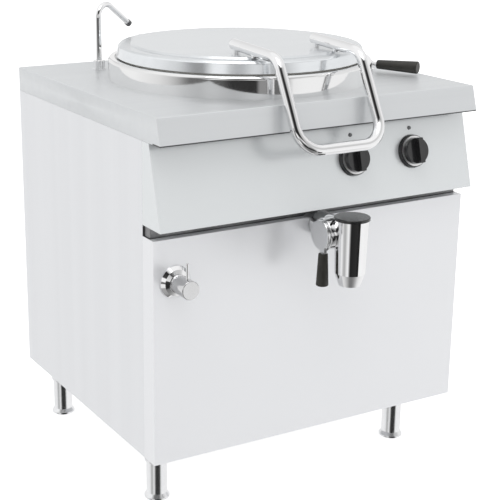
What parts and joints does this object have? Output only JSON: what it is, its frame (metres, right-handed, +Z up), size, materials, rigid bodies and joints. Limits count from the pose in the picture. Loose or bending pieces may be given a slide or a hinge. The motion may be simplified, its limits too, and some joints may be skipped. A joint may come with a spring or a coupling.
{
  "type": "boiling kettle",
  "caption": "Free-standing electric steam-jacketed boiling kettle with hinged round lid, bar handle, swan-neck water spout, front drain tap, control knobs and adjustable feet.",
  "frame": {"origin": "on the floor, in the middle of the kettle's overall width and depth", "axes": "+Z up, -Y the front with the controls, +X to the right of someone facing the front"},
  "size_m": [0.8, 0.8622, 1.058],
  "materials": {
    "cabinet_steel": "satin stainless sheet, fine vertical grain",
    "worktop_steel": "satin stainless sheet, pressed and welded",
    "lid_steel": "satin stainless lid",
    "collar_steel": "polished stainless ring",
    "bright_metal": "mirror-polished chrome plate",
    "inner_steel": "plain stainless, unseen inside the cabinet",
    "knob_black": "glossy black moulding",
    "grip_black": "matt black moulding",
    "element_sheath": "dark oxidised heater sheath",
    "seal_rubber": "pale food-grade silicone",
    "blanket": "mineral wool blanket",
    "valve_brass": "plain brass casting",
    "control_body": "dark moulded housing",
    "lamp_left": "small clear lens"
  },
  "bodies": {
    "cabinet": {"back_panel": "cabinet_steel", "bottom_tray": "cabinet_steel", "cable_gland": "control_body", "control_panel": "cabinet_steel", "drain_cap": "knob_black", "drain_outlet": "bright_metal", "drain_pipe": "inner_steel", "drain_tap_body": "bright_metal", "front_panel": "cabinet_steel", "heating_elements": "element_sheath", "hinge_brackets": "inner_steel", "hinge_spring": "element_sheath", "inner_pan": "inner_steel", "insulation": "blanket", "jacket_shell": "inner_steel", "left_side_panel": "cabinet_steel", "leg_sleeves": "bright_metal", "main_frame": "inner_steel", "pan_collar": "collar_steel", "pilot_lamps": "lamp_left", "right_side_panel": "cabinet_steel", "screws": "inner_steel", "spout_nut": "bright_metal", "spout_pipe": "inner_steel", "spring_housing": "inner_steel", "strainer": "inner_steel", "supply_pipe": "inner_steel", "switch_body": "control_body", "tap_rosette": "bright_metal", "terminal_box": "inner_steel", "thermostat_body": "control_body", "vent_valve": "bright_metal", "water_inlet": "valve_brass", "water_valve": "valve_brass", "worktop": "worktop_steel"},
    "lid": {"lid_shell": "lid_steel", "lid_inner_plate": "lid_steel", "lid_gasket": "seal_rubber", "lid_handle": "bright_metal", "hinge_arms": "inner_steel", "hinge_shaft": "inner_steel"},
    "drain_handle": {"drain_plug": "inner_steel", "drain_lever": "bright_metal", "drain_grip": "grip_black"},
    "water_tap": {"tap_head": "bright_metal", "tap_pin": "bright_metal"},
    "swan_neck": {"spout_tube": "bright_metal", "spout_nozzle": "bright_metal"},
    "vent_handle": {"vent_lever": "bright_metal", "vent_grip": "grip_black"},
    "thermostat": {"thermostat_knob": "knob_black", "thermostat_ring": "bright_metal", "thermostat_shaft": "inner_steel"},
    "selector": {"switch_knob": "knob_black", "switch_ring": "bright_metal", "switch_shaft": "inner_steel"},
    "foot_fl": {"foot_front_left": "bright_metal"},
    "foot_fr": {"foot_front_right": "bright_metal"},
    "foot_bl": {"foot_back_left": "bright_metal"},
    "foot_br": {"foot_back_right": "bright_metal"}
  },
  "joints": [
    {"name": "lid_hinge", "type": "hinge", "parent": "cabinet", "child": "lid", "pos_m": [0, 0.4109, 0.936], "axis": [-1, 0, 0], "range_deg": [0, 80], "stiffness_Nm_per_rad": 16, "springref_deg": 90.01},
    {"name": "drain_turn", "type": "hinge", "parent": "cabinet", "child": "drain_handle", "pos_m": [0, -0.3531, 0.632], "axis": [-1, 0, 0], "range_deg": [0, 90]},
    {"name": "water_tap_turn", "type": "hinge", "parent": "cabinet", "child": "water_tap", "pos_m": [-0.35, -0.2691, 0.553], "axis": [0, 1, 0], "range_deg": [0, 90]},
    {"name": "swan_neck_swivel", "type": "hinge", "parent": "cabinet", "child": "swan_neck", "pos_m": [-0.2459, 0.30303, 0.9], "axis": [0, 0, 1], "range_deg": [-90, 30]},
    {"name": "vent_turn", "type": "hinge", "parent": "cabinet", "child": "vent_handle", "pos_m": [0.31299, -0.01507, 0.9], "axis": [0, 0, 1], "range_deg": [0, 90]},
    {"name": "thermostat_turn", "type": "hinge", "parent": "cabinet", "child": "thermostat", "pos_m": [0.244, -0.27434, 0.76308], "axis": [0, 0.9645, -0.2641], "range_deg": [0, 270]},
    {"name": "selector_turn", "type": "hinge", "parent": "cabinet", "child": "selector", "pos_m": [0.084, -0.27434, 0.76308], "axis": [0, 0.9645, -0.2641], "range_deg": [0, 180]},
    {"name": "foot_fl_level", "type": "slide", "parent": "cabinet", "child": "foot_fl", "axis": [0, 0, -1], "range_m": [0, 0.038]},
    {"name": "foot_fr_level", "type": "slide", "parent": "cabinet", "child": "foot_fr", "axis": [0, 0, -1], "range_m": [0, 0.038]},
    {"name": "foot_bl_level", "type": "slide", "parent": "cabinet", "child": "foot_bl", "axis": [0, 0, -1], "range_m": [0, 0.038]},
    {"name": "foot_br_level", "type": "slide", "parent": "cabinet", "child": "foot_br", "axis": [0, 0, -1], "range_m": [0, 0.038]}
  ]
}
